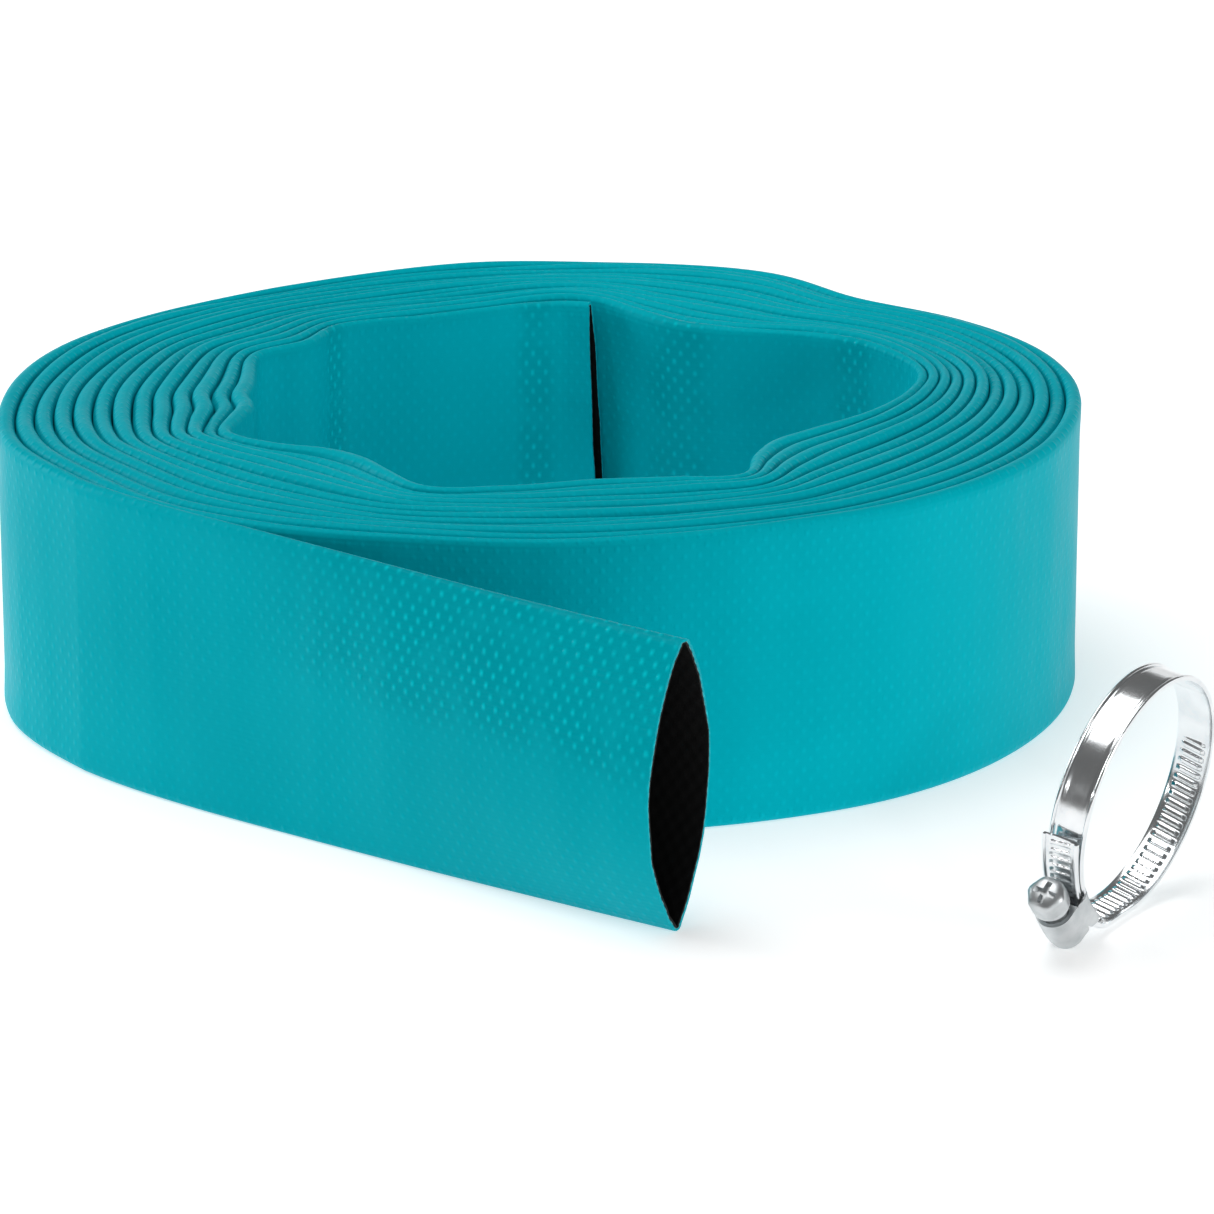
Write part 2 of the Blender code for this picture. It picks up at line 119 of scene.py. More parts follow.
CAMERA_PLACE = (0.00322, -1.3926, 0.5456)  # m
CAMERA_DOWN = 20.398  # degrees
CAMERA_LENS = 218.3
SOFTBOXES = (  # name, place in m, size in m, power in W
    ("top_light", (-0.4, 0.1, 1.9), (1.6, 1.2), 19.0),
    ("right_light", (1.75, -1.4, 0.5), (0.8, 0.7), 16.0),
    ("left_light", (-1.8, 0.75, 0.7), (0.8, 0.6), 15.0),
    ("left_glint", (-1.44, -0.77, 0.47), (0.1, 0.1), 1.0),
    ("right_glint", (0.66, -1.41, 0.69), (0.1, 0.1), 1.0),
)

OUTER_OUTLINE = (  # (degrees round the roll, mm from its centre)
    (-150, 108.2), (-165, 113.1), (-180, 111.9), (-195, 108.2), (-210, 101.3),
    (-225, 94.2), (-240, 90.2), (-255, 88.9), (-270, 89.8), (-285, 92.1),
    (-300, 94.6), (-315, 91.9), (-330, 100.6), (-352, 108.8), (-375, 107.9),
    (-390, 104.4), (-405, 99.8), (-420, 94.5), (-435, 91.2), (-450, 90.6),
    (-465, 92.2), (-487, 100.2), (-500, 106.1),
)
INNER_OUTLINE = (
    (-150.6, 63.1), (-161, 69.0), (-167, 64.6), (-180, 62.4), (-192, 63.5),
    (-203, 66.4), (-213, 61.6), (-224.5, 63.6), (-232, 61.5), (-241, 58.6),
    (-254, 57.5), (-266, 59.0), (-273, 59.6), (-279, 58.8), (-290, 52.8),
    (-300, 49.9), (-310.6, 53.3), (-326, 64.4), (-337.4, 71.2), (-351.8, 75.2),
    (-359, 71.2), (-369, 64.1), (-382.6, 54.5), (-393, 50.9), (-402, 53.6),
    (-412.3, 61.5), (-424.6, 56.3), (-441.9, 52.8), (-459.2, 57.1), (-474.7, 62.0),
    (-483, 57.9), (-493.3, 54.4), (-502.6, 56.3),
)


# ---------------------------------------------------------------- node helpers


class Nodes:
    """A short way to wire a material's nodes."""

    def __init__(self, name):
        self.material = bpy.data.materials.new(name)
        self.material.use_nodes = True
        self.tree = self.material.node_tree
        self.shader = self.tree.nodes["Principled BSDF"]

    def add(self, kind, settings=None, **inputs):
        node = self.tree.nodes.new(kind)
        for key, value in (settings or {}).items():
            setattr(node, key, value)
        for key, value in inputs.items():
            self.feed(node, key.replace("_", " "), value)
        return node

    def feed(self, node, key, value):
        socket = node.inputs[int(key) if key.isdigit() else key]
        if isinstance(value, bpy.types.NodeSocket):
            self.tree.links.new(value, socket)
        else:
            socket.default_value = value

    def maths(self, operation, first, second=0.0, third=None):
        node = self.tree.nodes.new("ShaderNodeMath")
        node.operation = operation
        for index, value in enumerate((first, second, third)):
            if value is not None:
                self.feed(node, str(index), value)
        return node.outputs[0]

    def mix(self, share, low, high):
        node = self.tree.nodes.new("ShaderNodeMix")
        node.data_type = "RGBA"
        self.feed(node, "0", share)
        self.feed(node, "6", low)
        self.feed(node, "7", high)
        return node.outputs[2]

    def noise(self, vector, scale, detail=3.0, roughness=0.5):
        node = self.add("ShaderNodeTexNoise", Vector=vector, Scale=scale, Detail=detail,
                        Roughness=roughness)
        return node.outputs["Fac"]

    def ramp(self, value, low, high, to_low=0.0, to_high=1.0):
        node = self.tree.nodes.new("ShaderNodeMapRange")
        for index, setting in enumerate((value, low, high, to_low, to_high)):
            self.feed(node, str(index), setting)
        return node.outputs[0]

    def bump(self, height, strength, distance, normal=None):
        node = self.add("ShaderNodeBump", Height=height, Strength=strength,
                        Distance=distance)
        if normal is not None:
            self.feed(node, "Normal", normal)
        return node.outputs["Normal"]

    def finish(self, **inputs):
        for key, value in inputs.items():
            self.feed(self.shader, key.replace("_", " "), value)
        return self.material


def colour(red, green, blue):
    """An sRGB colour, 0 to 255, as the linear values that a shader takes."""
    return tuple(
        (c / 12.92 if c <= 0.04045 else ((c + 0.055) / 1.055) ** 2.4)
        for c in (red / 255, green / 255, blue / 255)
    ) + (1.0,)


# ---------------------------------------------------------------- materials


def woven_pvc(name, pale, deep, painted_glint, gloss_spots):
    """Soft PVC pressed over a plain weave: rows of staggered bumps along the hose.

    The spots are places along the hose, and their reach in mm, where the bumps are glossier and
    dotted with painted highlights. The free end's upper half is too, and is painted darker as
    shade.
    The glint colour is that of the painted highlights.
    """
    m = Nodes(name)
    run = m.add("ShaderNodeAttribute", {"attribute_name": "hose_run"}).outputs["Vector"]
    parts = m.add("ShaderNodeSeparateXYZ", Vector=run)
    place = m.add("ShaderNodeTexCoord").outputs["Object"]
    wander = m.noise(run, 0.05, 2.0)
    along = m.maths("MULTIPLY_ADD", wander, 1.4, parts.outputs["X"])
    across = m.maths("MULTIPLY_ADD", wander, 0.8, parts.outputs["Y"])
    warp = m.maths("COSINE", m.maths("MULTIPLY", along, pi / WARP_PITCH))
    weft = m.maths("COSINE", m.maths("MULTIPLY", across, pi / WEFT_PITCH))
    knuckle = m.maths("POWER", m.maths("MAXIMUM", m.maths("MULTIPLY", warp, weft)), 1.8)
    pressed = m.ramp(m.noise(run, 0.035, 2.0, 0.6), 0.35, 0.65, 0.25, 1.0)
    rows = m.maths("COSINE", m.maths("MULTIPLY", across, 4 * pi / WEFT_PITCH))
    height = m.maths("MULTIPLY_ADD", m.maths("MULTIPLY", knuckle, pressed), 1.0,
                     m.maths("MULTIPLY", rows, 0.07))
    # the gloss mask: the free end's upper half from 45 mm out, and the spots, in noisy patches;
    # it lowers the roughness, and also paints highlight dots and painted shade
    upper = m.ramp(parts.outputs["Y"], 1.0, 9.0)
    gloss_and_painted_light = m.maths("MULTIPLY", m.ramp(parts.outputs["X"], -45.0, -80.0), upper)
    for centre, reach in gloss_spots:
        away = m.maths("ABSOLUTE", m.maths("SUBTRACT", along, centre))
        gloss_and_painted_light = m.maths("MAXIMUM", gloss_and_painted_light, m.ramp(away, reach, 0.3 * reach))
    patch = m.ramp(m.noise(run, 0.10, 3.0, 0.6), 0.38, 0.58, 0.3, 1.0)
    gloss_and_painted_light = m.maths("MULTIPLY", gloss_and_painted_light, patch)
    creases = m.add("ShaderNodeMapping", Vector=run)
    creases.inputs["Scale"].default_value = (0.06, 0.006, 0.0)
    crease = m.noise(creases.outputs["Vector"], 1.0, 2.0, 0.45)
    normal = m.bump(m.noise(place, 30.0, 3.0), 0.4, 0.0010)
    normal = m.bump(crease, 0.35, 0.0028, normal)
    rim = m.ramp(m.maths("ABSOLUTE", parts.outputs["Y"]), 27.0, 29.5)
    strength = m.maths("MAXIMUM", m.ramp(gloss_and_painted_light, 0.0, 1.0, 0.42, 1.0), rim)
    normal = m.bump(height, strength, WEAVE_HEIGHT * MM, normal)
    broad = m.noise(place, 11.0, 3.0)
    base = m.mix(m.ramp(broad, 0.36, 0.64), deep, pale)
    # painted shade: the weave's hollows a little darker than its crowns
    shade = m.ramp(height, 0.0, 0.9, 0.94, 1.01)
    # painted shade: the free end darker from 20 mm past the split, and darker again where the
    # gloss mask is
    painted_shade = m.ramp(parts.outputs["X"], -20.0, -80.0, 1.0, 0.93)
    painted_shade = m.maths("MULTIPLY", painted_shade, m.ramp(gloss_and_painted_light, 0.0, 0.6, 1.0, 0.90))
    hue = m.add("ShaderNodeHueSaturation", Value=m.maths("MULTIPLY", shade, painted_shade), Color=base)
    # painted highlights: glint-coloured dots on the bump crowns, faint everywhere and strongest
    # where the gloss mask is
    painted_glint_dots = m.maths("MULTIPLY", m.ramp(gloss_and_painted_light, 0.0, 1.0, 0.05, 0.72), knuckle)
    base = m.mix(painted_glint_dots, hue.outputs["Color"], painted_glint)
    rough = m.ramp(m.noise(place, 55.0, 4.0), 0.3, 0.7, 0.38, 0.5)
    rough = m.maths("MULTIPLY_ADD", gloss_and_painted_light, -0.26, rough)
    return m.finish(
        Base_Color=base, Roughness=rough, Normal=normal,
        Specular_IOR_Level=0.04,
        Specular_Tint=(0.1, 0.85, 0.95, 1.0),
    )


def lining_rubber():
    """The black inside face, with the same weave faintly through it."""
    m = Nodes("black_lining")
    run = m.add("ShaderNodeAttribute", {"attribute_name": "hose_run"}).outputs["Vector"]
    parts = m.add("ShaderNodeSeparateXYZ", Vector=run)
    warp = m.maths("COSINE", m.maths("MULTIPLY", parts.outputs["X"], pi / WARP_PITCH))
    weft = m.maths("COSINE", m.maths("MULTIPLY", parts.outputs["Y"], pi / WEFT_PITCH))
    height = m.maths("MULTIPLY", warp, weft)
    grain = m.noise(run, 1.8, 3.0)
    normal = m.bump(m.maths("MULTIPLY_ADD", grain, 0.5, height), 0.4, 0.00012)
    base = m.mix(grain, (0.0016, 0.0017, 0.0018, 1.0), (0.004, 0.0042, 0.0044, 1.0))
    return m.finish(Base_Color=base, Roughness=m.ramp(grain, 0.3, 0.7, 0.62, 0.8),
                    Normal=normal, Specular_IOR_Level=0.18)


def yarn():
    """Polyester yarn seen end-on at the cut: fine pale bundles, dark between."""
    m = Nodes("woven_yarn")
    run = m.add("ShaderNodeAttribute", {"attribute_name": "hose_run"}).outputs["Vector"]
    parts = m.add("ShaderNodeSeparateXYZ", Vector=run)
    bundle = m.maths("COSINE", m.maths("MULTIPLY", parts.outputs["Y"], 2 * pi / WEFT_PITCH))
    fibre = m.noise(run, 9.0, 4.0)
    base = m.mix(m.ramp(bundle, -0.6, 0.6), colour(18, 70, 74), colour(96, 160, 162))
    normal = m.bump(m.maths("ADD", bundle, fibre), 0.6, 0.0001)
    return m.finish(Base_Color=base, Roughness=0.85, Normal=normal)


def plated_steel(name, pale, deep, low_rough, high_rough, brushed):
    """Zinc-plated steel: fine marks along the strip, small stains and rubbed patches."""
    m = Nodes(name)
    run = m.add("ShaderNodeAttribute", {"attribute_name": "strip_run"}).outputs["Vector"]
    place = m.add("ShaderNodeTexCoord").outputs["Object"]
    stretched = m.add("ShaderNodeMapping", Vector=run)
    stretched.inputs["Scale"].default_value = (0.35, 14.0, 14.0)
    lines = m.noise(stretched.outputs["Vector"], 1.0, 5.0, 0.65)
    stains = m.noise(place, 240.0, 4.0, 0.6)
    spangle = m.add("ShaderNodeTexVoronoi", Vector=place, Scale=900.0)
    base = m.mix(m.ramp(stains, 0.35, 0.7), pale, deep)
    rough = m.ramp(m.maths("MULTIPLY_ADD", lines, 0.6, m.maths("MULTIPLY", stains, 0.4)),
                   0.35, 0.65, low_rough, high_rough)
    height = m.maths("MULTIPLY_ADD", lines, brushed,
                     m.maths("MULTIPLY", spangle.outputs["Distance"], 0.4))
    normal = m.bump(height, 0.25, 0.00003)
    return m.finish(Base_Color=base, Roughness=rough, Metallic=1.0, Normal=normal)


# ---------------------------------------------------------------- the hose's route


class ClosedOutline:
    """A smooth closed curve, radius against angle, through a few given points."""

    def __init__(self, points):
        ordered = sorted((angle % 360.0, radius) for angle, radius in points)
        angles = np.array([angle for angle, _ in ordered])
        radii = np.array([radius for _, radius in ordered])
        self.angles = np.concatenate([angles[-2:] - 360.0, angles, angles[:3] + 360.0])
        self.radii = np.concatenate([radii[-2:], radii, radii[:3]])
        self.slopes = np.gradient(self.radii, self.angles)

    def radius(self, angle):
        angle = np.mod(angle, 360.0)
        i = np.searchsorted(self.angles, angle, side="right") - 1
        span = self.angles[i + 1] - self.angles[i]
        t = (angle - self.angles[i]) / span
        return (
            (1 + 2 * t) * (1 - t) ** 2 * self.radii[i]
            + t * (1 - t) ** 2 * span * self.slopes[i]
            + t * t * (3 - 2 * t) * self.radii[i + 1]
            - t * t * (1 - t) * span * self.slopes[i + 1]
        )

    def smoothed(self, angle, reach=24.0):
        """The mean radius for a stretch either side, without the kinks."""
        return np.mean([self.radius(angle + d) for d in np.linspace(-reach, reach, 17)], axis=0)


OUTER = ClosedOutline(OUTER_OUTLINE)
INNER = ClosedOutline(INNER_OUTLINE)


def roll_radius(turn):
    """Distance of the hose's middle from the roll's centre, this many turns in."""
    angle = FIRST_ANGLE - 360.0 * turn
    share = turn / TURNS
    outer = OUTER.radius(angle) - HOSE_THICKNESS / 2
    smooth_inner = INNER.smoothed(angle)
    kink = INNER.radius(angle) - smooth_inner
    around = np.mod(angle, 360.0)
    bend = np.cos(2 * pi * (around - RIPPLE_ANGLE) / RIPPLE_PERIOD)
    bend = bend * np.exp(-((around - RIPPLE_ANGLE - RIPPLE_PERIOD / 2) / RIPPLE_REACH) ** 2)
    ripple = RIPPLE * bend * np.clip((turn - 5.5) / 6.0, 0.0, 1.0)
    spiral = outer - (outer - smooth_inner) * share
    return spiral + kink * np.abs(share) ** FOLD_SHARPNESS + ripple


def roll_points(turns):
    """Plan points of the spiral, in mm from the set's origin."""
    angles = np.radians(FIRST_ANGLE - 360.0 * turns)
    radii = roll_radius(turns)
    return np.stack([ROLL_CENTRE[0] + radii * np.cos(angles),
                     ROLL_CENTRE[1] + radii * np.sin(angles)], axis=-1)


def roll_ahead(turns):
    """Unit direction of the spiral, inwards along the hose."""
    step = roll_points(turns + 0.001) - roll_points(turns - 0.001)
    return step / np.linalg.norm(step, axis=1, keepdims=True)


def tangents(points):
    ahead = np.gradient(points, axis=0)
    return ahead / np.linalg.norm(ahead, axis=1, keepdims=True)


def run_lengths(points):
    steps = np.linalg.norm(np.diff(points, axis=0), axis=1)
    return np.concatenate([[0.0], np.cumsum(steps)])


def smooth_random(values, seed):
    """Gentle repeatable variation along the hose, from -1 to 1."""
    return np.array([noise.noise((v, seed * 7.3, 0.37)) * 2.0 for v in values])


def room_between_turns(turns, points):
    """How far apart the neighbouring turns' middles lie, measured square to the hose."""
    room = np.full(len(turns), 9.0)
    for neighbour in (-1.0, 1.0):
        other = turns + neighbour
        valid = (other >= 0.0) & (other <= TURNS)
        for shift in np.linspace(-0.03, 0.03, 13):
            near = roll_points(np.clip(other + shift, 0.0, TURNS))
            distance = np.linalg.norm(near - points, axis=1)
            room = np.where(valid, np.minimum(room, distance), room)
    return room


# ---------------------------------------------------------------- hose meshes


def hose_section(thick, top, pinch=1.0, bow=0.0, drop=0.0, depth=0.0, fine=False):
    """One face across the flattened tube: (sideways, height, run from mid-height).

    thick is the thickness at the folds and top the upper fold's height. pinch is the share
    of the thickness left in the middle of the wall. bow opens the tube into a pointed
    oval and drop draws its folds in. depth is how far inside the surface this face is.
    """
    r = max(thick / 2 - depth, 0.05)
    half_height = top / 2 - drop - depth
    shares = (0.2, 0.4, 0.6, 0.8, 1.0) if fine else (1.0,)
    flat = FLATTEN_LEVELS[-1]
    levels = [0.134 * r, 0.5 * r, r, *FLATTEN_LEVELS]
    levels += [flat + (half_height - flat) * share for share in shares]
    side = []
    for e in levels:
        if e <= r:
            half = r * sqrt(max(1 - (1 - e / r) ** 2, 0.0))
        else:
            t = min((e - r) / (flat - r), 1.0)
            half = r * (1 - (1 - pinch) * t * t * (3 - 2 * t))
        rest = 1 - ((half_height - e) / half_height) ** 2
        side.append((half + bow * rest**0.92, half_height - e))
    side = [(0.0, half_height)] + side
    steps = [sqrt((x2 - x1) ** 2 + (z2 - z1) ** 2)
             for (x1, z1), (x2, z2) in zip(side, side[1:])]
    total = sum(steps)
    upper = [(x, h, total - sum(steps[:i])) for i, (x, h) in enumerate(side)]
    right = upper + [(x, -h, -v) for x, h, v in reversed(upper[:-1])]
    loop = right + [(-x, h, v) for x, h, v in reversed(right[1:-1])]
    lift = half_height + depth
    return [(x, h + lift, v) for x, h, v in loop]


def add_mesh(name, mesh, material, smooth_angle=None):
    piece = bpy.data.objects.new(name, mesh)
    bpy.context.scene.collection.objects.link(piece)
    mesh.materials.append(material)
    mesh.shade_smooth()
    if smooth_angle is not None:
        mesh.set_sharp_from_angle(angle=radians(smooth_angle))
    return piece


def grid_mesh(name, rings, runs, attribute, close_round=True, caps=False):
    """A mesh from equal rings of points, with the pattern's coordinates on each point."""
    rings = np.asarray(rings, float)
    count, size = rings.shape[:2]
    faces = []
    last = size if close_round else size - 1
    for i in range(count - 1):
        for j in range(last):
            k = (j + 1) % size
            faces.append((i * size + j, i * size + k, (i + 1) * size + k, (i + 1) * size + j))
    if caps:
        faces.append(tuple(range(size - 1, -1, -1)))
        faces.append(tuple((count - 1) * size + j for j in range(size)))
    mesh = bpy.data.meshes.new(name)
    mesh.from_pydata((rings.reshape(-1, 3) * MM).tolist(), [], faces)
    data = mesh.attributes.new(attribute, "FLOAT_VECTOR", "POINT")
    data.data.foreach_set("vector", np.asarray(runs, np.float32).reshape(-1))
    bm = bmesh.new()
    bm.from_mesh(mesh)
    bmesh.ops.recalc_face_normals(bm, faces=bm.faces[:])
    bm.to_mesh(mesh)
    bm.free()
    mesh.validate()
    return mesh


def build_roll(material):
    """The wound hose as one long flattened tube with rounded folds."""
    turns = np.linspace(0.0, INNER_END_START, int(INNER_END_START * STATIONS_PER_TURN) + 1)
    points = roll_points(turns)
    ahead = roll_ahead(turns)
    normals = np.stack([-ahead[:, 1], ahead[:, 0]], axis=1)
    room = room_between_turns(turns, points)
    along = run_lengths(points)
    fattest = FATTEST + SLACKER * np.clip((turns - 6.0) / 6.0, 0.0, 1.0)
    thick = np.clip(room * 0.955 - 0.02, THINNEST, fattest)
    top = fold_height(along, turns)
    rings, runs = [], []
    for i, (point, normal) in enumerate(zip(points, normals)):
        section = hose_section(thick[i], top[i], PINCH)
        rings.append([(point[0] + normal[0] * x, point[1] + normal[1] * x, z)
                      for x, z, _ in section])
        runs.append([(along[i], v, x) for x, _, v in section])
    mesh = grid_mesh("hose_roll_skin", rings, runs, "hose_run")
    return add_mesh("hose_roll_skin", mesh, material), thick, top, along[-1]


def gloss_spots():
    """Where along the hose the cover is glossier, with painted highlights and painted shade:
    (mm from the split, reach in mm).
    """
    turns = np.linspace(0.0, TURNS, 4001)
    along = run_lengths(roll_points(turns))
    return [(float(np.interp(turn, turns, along)), reach) for turn, reach in GLOSS_AND_PAINTED_LIGHT_SPOTS]


def fold_height(along, turns):
    """Height of the upper fold: a little uneven all along, as hand-wound hose is."""
    return HOSE_WIDTH + 0.45 * smooth_random(along / 38.0, 2) + inner_lift(turns)


def inner_lift(turns):
    """The inner turns stand a little proud of the rest in two places."""
    angle = np.mod(FIRST_ANGLE - 360.0 * turns, 360.0)
    depth = np.clip((turns - 5.0) / 7.0, 0.0, 1.0)
    back = np.exp(-((angle - 88.0) / 13.0) ** 2)
    right = np.exp(-((angle - 28.0) / 14.0) ** 2)
    return depth * (1.6 * back + 1.2 * right)


def build_ply(name, points, ahead, along, depths, shape, material, ragged, cut, near=0.0):
    """One ply of an open end, between two depths, with its cut edge.

    shape gives each station's thickness, top, pinch, bow and drop. cut moves the cut's
    lower edge on along the hose and sideways, and its upper edge on, in mm. near is how
    much more the near side bows out.
    """
    normals = np.stack([-ahead[:, 1], ahead[:, 0]], axis=1)
    rings, runs = [], []
    order = [(i, depths[0]) for i in range(len(points))]
    order += [(i, depths[1]) for i in reversed(range(len(points)))]
    for i, depth in order:
        section = hose_section(*[value[i] for value in shape], depth=depth, fine=True)
        trim = ragged * smooth_random([j * 0.9 + along[0] for j in range(len(section))], 5)
        end = i == len(points) - 1
        share = i / (len(points) - 1)
        ring, run = [], []
        for j, (x, z, v) in enumerate(section):
            push = trim[j] if end else 0.0
            high = z / HOSE_WIDTH
            push += (cut[0] * (1 - high) + cut[2] * high) * share**2
            x += cut[1] * (1 - high) * share**2
            if x < 0:
                x -= near * share**2 * 4 * high * (1 - high)
            ring.append((points[i][0] + normals[i][0] * x + ahead[i][0] * push,
                         points[i][1] + normals[i][1] * x + ahead[i][1] * push, z))
            run.append((along[i] + push, v, depth))
        rings.append(ring)
        runs.append(run)
    rings.append(rings[0])
    runs.append(runs[0])
    mesh = grid_mesh(name, rings, runs, "hose_run")
    bm = bmesh.new()
    bm.from_mesh(mesh)
    bmesh.ops.remove_doubles(bm, verts=bm.verts, dist=1e-7)
    bmesh.ops.recalc_face_normals(bm, faces=bm.faces[:])
    bm.to_mesh(mesh)
    bm.free()
    return add_mesh(name, mesh, material, 50)


def between_knots(p0, p1, p2, p3, t):
    """A Catmull-Rom curve's point, from p1 at t = 0 to p2 at t = 1."""
    return 0.5 * (2 * p1 + (p2 - p0) * t + (2 * p0 - 5 * p1 + 4 * p2 - p3) * t * t
                  + (3 * p1 - p0 - 3 * p2 + p3) * t**3)


def build_free_end(materials, start_thick, start_top):
    """The free end, from the split to its open mouth."""
    start = roll_points(np.array([0.0]))[0]
    lead = roll_points(np.array([0.004]))[0]
    tangent = (start - lead) / np.linalg.norm(start - lead)
    knots = [start] + [np.array((x + ROLL_CENTRE[0], y + ROLL_CENTRE[1]))
                       for x, y in FREE_END_POINTS]
    before = start - tangent * np.linalg.norm(knots[1] - start)
    route = [before] + knots + [2 * knots[-1] - knots[-2]]
    dense = []
    for i in range(1, len(route) - 2):
        for t in np.linspace(0, 1, 40, endpoint=False):
            dense.append(between_knots(*route[i - 1:i + 3], t))
    dense.append(knots[-1])
    dense = np.array(dense)
    length = run_lengths(dense)
    spots = np.linspace(0.0, length[-1], 130)
    points = np.stack([np.interp(spots, length, dense[:, k]) for k in (0, 1)], axis=1)
    ahead = tangents(points)
    ahead[0] = -roll_ahead(np.array([0.0]))[0]
    share = spots / spots[-1]
    opening = np.clip((share - 0.26) / 0.74, 0.0, 1.0) ** 1.75
    opening = 0.4 * opening * (3 - 2 * opening) + 0.6 * opening
    ripple = 0.10 * smooth_random(spots / 24.0, 9) * np.clip(share * 3, 0, 1)
    bow = MOUTH_OPENING * opening + ripple * (opening > 0)
    drop = MOUTH_DROP * opening
    thick = start_thick + (FREE_THICKNESS - start_thick) * np.clip(share * 2.5, 0, 1)
    top = start_top + (HOSE_WIDTH - start_top) * np.clip(share * 4, 0, 1)
    pinch = PINCH + (1 - PINCH) * np.clip(share * 2.5, 0, 1)
    shape = (thick, top, pinch, bow, drop)
    pieces = [
        build_ply(f"free_end_{ply}_skin", points, ahead, -spots, depths, shape,
                  materials[ply], 0.16 if ply != "lining" else 0.22, MOUTH_CUT,
                  MOUTH_NEAR_SIDE)
        for ply, depths in PLIES
    ]
    return pieces, start, ahead[0], spots[-1]


def build_inner_end(materials, start_thick, start_top, start_run):
    """The inner end: the last of the innermost turn, turned slightly inwards."""
    turns = np.linspace(INNER_END_START, TURNS, 40)
    points = roll_points(turns)
    share = np.linspace(0.0, 1.0, len(turns))
    centre = np.array(ROLL_CENTRE)
    inward = centre - points
    inward /= np.linalg.norm(inward, axis=1, keepdims=True)
    points = points + inward * (1.3 * share**2.4)[:, None]
    ahead = tangents(points)
    ahead[0] = roll_ahead(turns[:1])[0]
    spots = run_lengths(points)
    bow = INNER_OPENING * np.clip((share - 0.3) / 0.7, 0, 1) ** 2
    thick = start_thick + (INNER_THICKNESS - start_thick) * share
    top = start_top + (HOSE_WIDTH + 1.2 - start_top) * share
    pinch = PINCH + (1 - PINCH) * share
    shape = (thick, top, pinch, bow, 0.25 * share)
    pieces = [
        build_ply(f"inner_end_{ply}_skin", points, ahead, start_run + spots, depths, shape,
                  materials[ply], 0.12, INNER_CUT)
        for ply, depths in PLIES
    ]
    return pieces, spots[-1] + INNER_CUT[0] / 2


# ---------------------------------------------------------------- clamp


def clamp_matrix():
    """The clamp's own frame, in mm: z along the ring's axis, x level and y nearly upwards."""
    heading, lean = radians(CLAMP_HEADING), radians(CLAMP_LEAN)
    axis = Vector((cos(lean) * cos(heading), cos(lean) * sin(heading), sin(lean)))
    level = Vector((-sin(heading), cos(heading), 0.0))
    upward = axis.cross(level)
    x, y, z = CLAMP_CENTRE
    centre = Vector((x + ROLL_CENTRE[0], y + ROLL_CENTRE[1], z))
    return Matrix.Translation(centre) @ Matrix((level, upward, axis)).transposed().to_4x4()


CLAMP = clamp_matrix()
SEAT = CLAMP @ Matrix.Rotation(radians(HOUSING_ANGLE), 4, "Z") @ Matrix.Translation(
    (RING_RADIUS, 0.0, 0.0))


def band_profile():
    """The strip's section with its rolled edges: (outwards, along the axis) in mm."""
    half = BAND_WIDTH / 2
    edge = half - BEAD_RADIUS
    outer = [(-BAND_THICKNESS + 0.12, half - 0.02)]
    for a in np.radians((-40, 0, 40, 80, 120, 160, 200)):
        outer.append((0.08 + BEAD_RADIUS * sin(a), edge + BEAD_RADIUS * cos(a)))
    outer += [(-0.10, edge - 0.62), (-0.04, edge - 0.95)]
    flat = np.linspace(edge - 1.15, 1.15 - edge, 13)
    section = outer + [(0.0, z) for z in flat] + [(r, -z) for r, z in reversed(outer)]
    inner = np.linspace(-half + 0.5, half - 0.5, 17)
    section += [(-BAND_THICKNESS, z) for z in inner]
    return section


def moving_radius(angle):
    """The tail's radius: it rises over the fixed band at the housing, and flares beyond."""
    past = HOUSING_ANGLE + 42.0 - angle
    rise = min(max(past / 20.0, 0.0), 1.0)
    flare = TAIL_FLARE * max((past - 56.0) / (TAIL_ANGLE - 14.0), 0.0) ** 2
    return RING_RADIUS + OVERLAP_RISE * rise * rise * (3 - 2 * rise) + flare


def groove_depth(run, axial):
    """Slanted pressed grooves, as a share from 0 to 1."""
    reach = min(max((2.35 - abs(axial)) / 0.35, 0.0), 1.0)
    phase = (run + GROOVE_SLANT * axial) / GROOVE_PITCH
    wave = 0.5 + 0.5 * cos(2 * pi * phase)
    ridge = min(max((wave - 0.22) / 0.40, 0.0), 1.0)
    return reach * reach * (3 - 2 * reach) * ridge * ridge * (3 - 2 * ridge)


def build_band(name, first, last, radius_at, grooved, step, material):
    """Part of the band, from one angle round the ring to another, a step at a time."""
    profile = band_profile()
    angles = np.linspace(first, last, int(abs(last - first) / step) + 1)
    rings, runs = [], []
    for angle in angles:
        a = radians(angle)
        radius = radius_at(angle)
        run = a * RING_RADIUS
        mark = 0.0
        if grooved:
            mark = min(max((GROOVE_START - angle) / 2.0, 0.0), 1.0)
        ring = []
        for outward, axial in profile:
            press = 0.0
            if mark > 0.0 and abs(axial) < 2.7:
                press = -GROOVE_DEPTH * mark * groove_depth(run, axial)
            r = radius + outward + press
            ring.append(CLAMP @ Vector((cos(a) * r, sin(a) * r, axial)))
        rings.append([tuple(p) for p in ring])
        runs.append([(run, axial, outward) for outward, axial in profile])
    mesh = grid_mesh(name, rings, runs, "strip_run", caps=True)
    return add_mesh(name, mesh, material, 60)


def add_strip_run(mesh, matrix):
    """Pattern coordinates in mm for a mesh that isn't a strip."""
    inverse = matrix.inverted()
    data = mesh.attributes.new("strip_run", "FLOAT_VECTOR", "POINT")
    values = [inverse @ (v.co / MM) for v in mesh.vertices]
    data.data.foreach_set("vector", [c for v in values for c in (v.y, v.z, v.x)])


